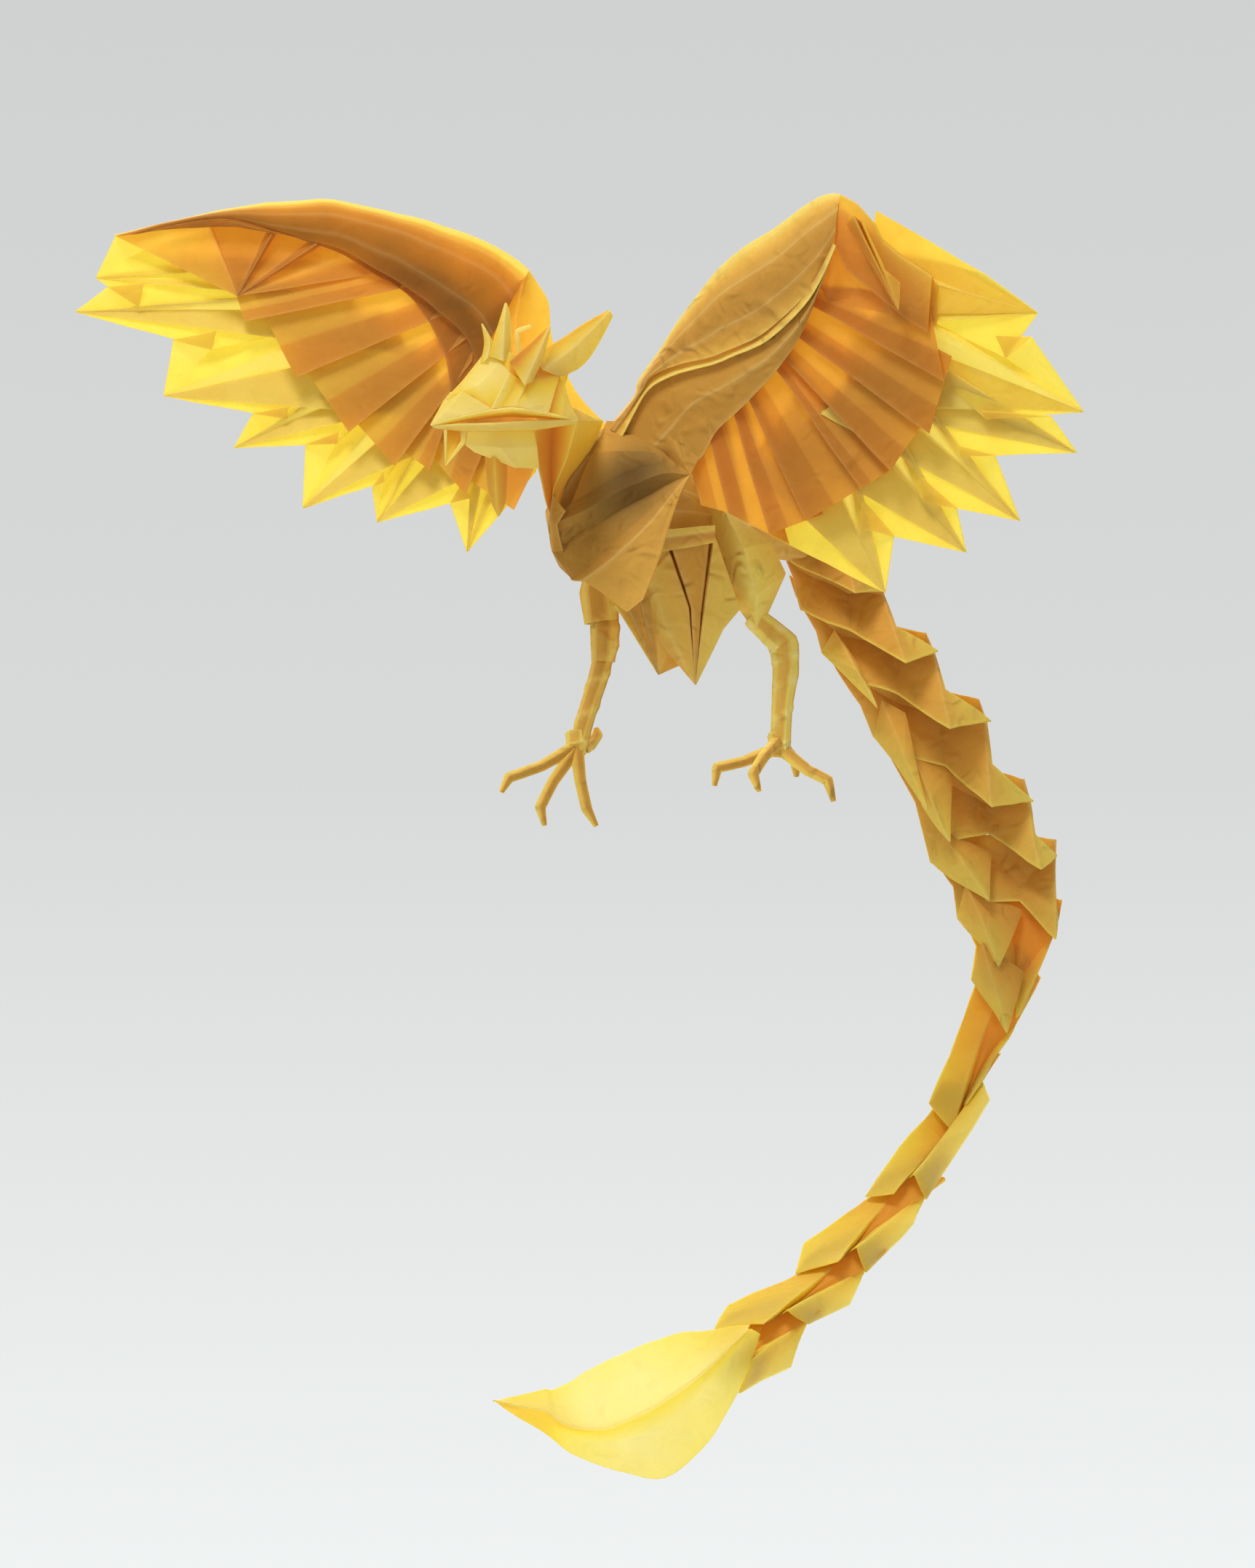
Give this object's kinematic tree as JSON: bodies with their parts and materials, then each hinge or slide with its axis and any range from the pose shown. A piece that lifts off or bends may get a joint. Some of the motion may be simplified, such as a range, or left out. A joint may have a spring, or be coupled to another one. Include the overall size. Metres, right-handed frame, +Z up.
{
  "type": "origami phoenix",
  "caption": "Folded paper phoenix with pleated spread wings, a crested head, clawed legs and a long scaled tail ending in a leaf.",
  "frame": {"origin": "saddle of the back between the wing roots, where the figure is hung", "axes": "+X towards the bird's left wing, +Y away from the side it is shown from, +Z up"},
  "size_m": [0.2327, 0.1182, 0.2917],
  "materials": {
    "paper": "thin matte handmade paper with fine fibres, golden yellow, orange where layers overlap"
  },
  "bodies": {
    "root": {"folded_phoenix": "paper"}
  },
  "joints": []
}
